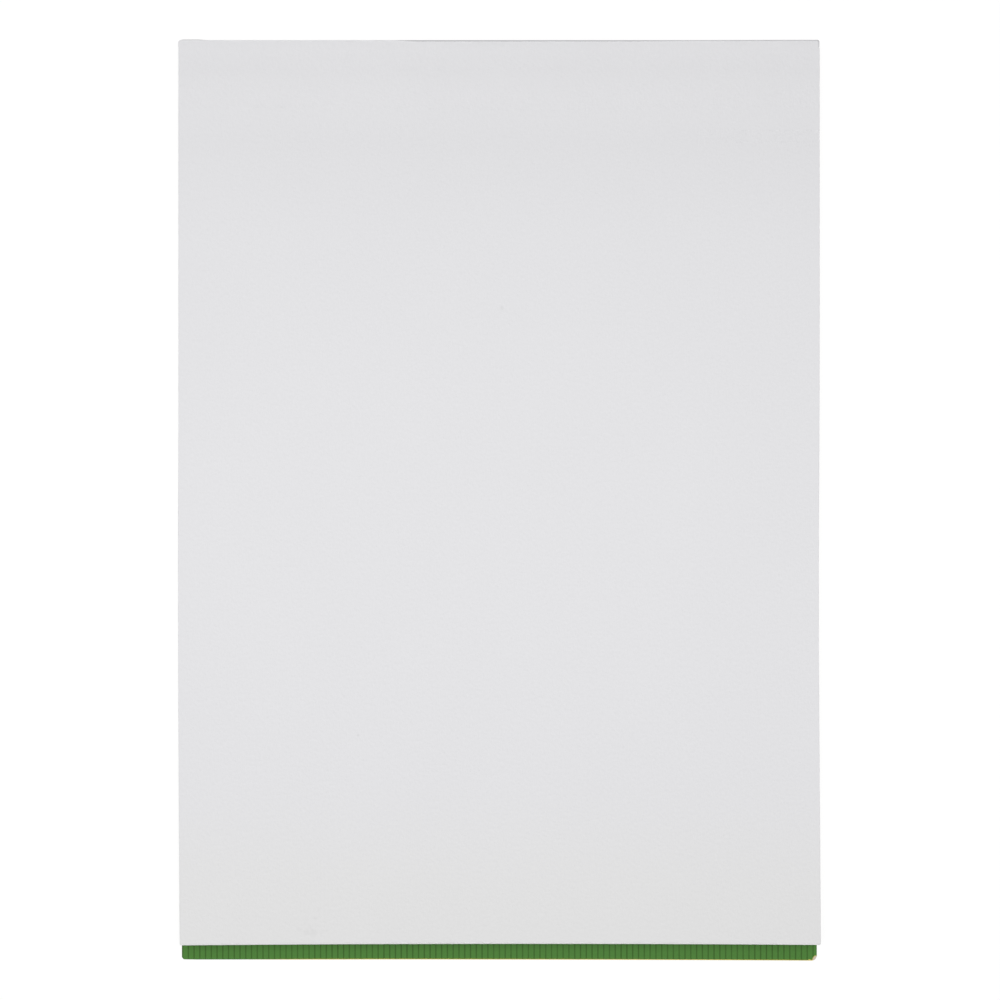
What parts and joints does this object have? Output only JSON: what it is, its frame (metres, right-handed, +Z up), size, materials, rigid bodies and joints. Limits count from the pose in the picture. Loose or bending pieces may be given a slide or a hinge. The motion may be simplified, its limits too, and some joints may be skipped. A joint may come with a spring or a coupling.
{
  "type": "watercolour paper pad",
  "caption": "Head-glued pad of heavy watercolour paper on a stiff back board, with a card cover that closes over the sheets or folds right round behind them.",
  "frame": {"origin": "middle of the pad's box, on the surface that it lies on", "axes": "+Z up through the thickness, +Y towards the glued head, +X to the right as the top sheet is seen"},
  "size_m": [0.2108, 0.3042, 0.0076],
  "materials": {
    "paper": "matte, fine cold-pressed tooth",
    "greyboard": "matte",
    "gum": "dried padding gum, slightly translucent",
    "cover_card": "printed green with fine darker stripes, satin"
  },
  "bodies": {
    "pad": {"paper_sheets": "paper", "back_board": "greyboard", "head_gum": "gum", "cover_glue_flap": "cover_card"},
    "spine": {"cover_spine_panel": "cover_card"},
    "cover": {"cover_front_panel": "cover_card"}
  },
  "joints": [
    {"name": "spine_hinge", "type": "hinge", "parent": "pad", "child": "spine", "pos_m": [0, 0.15177, 0.00033], "axis": [1, 0, 0], "range_deg": [0, 270]},
    {"name": "cover_hinge", "type": "hinge", "parent": "spine", "child": "cover", "pos_m": [0, 0.14439, 0], "axis": [1, 0, 0], "range_deg": [0, 90]}
  ]
}
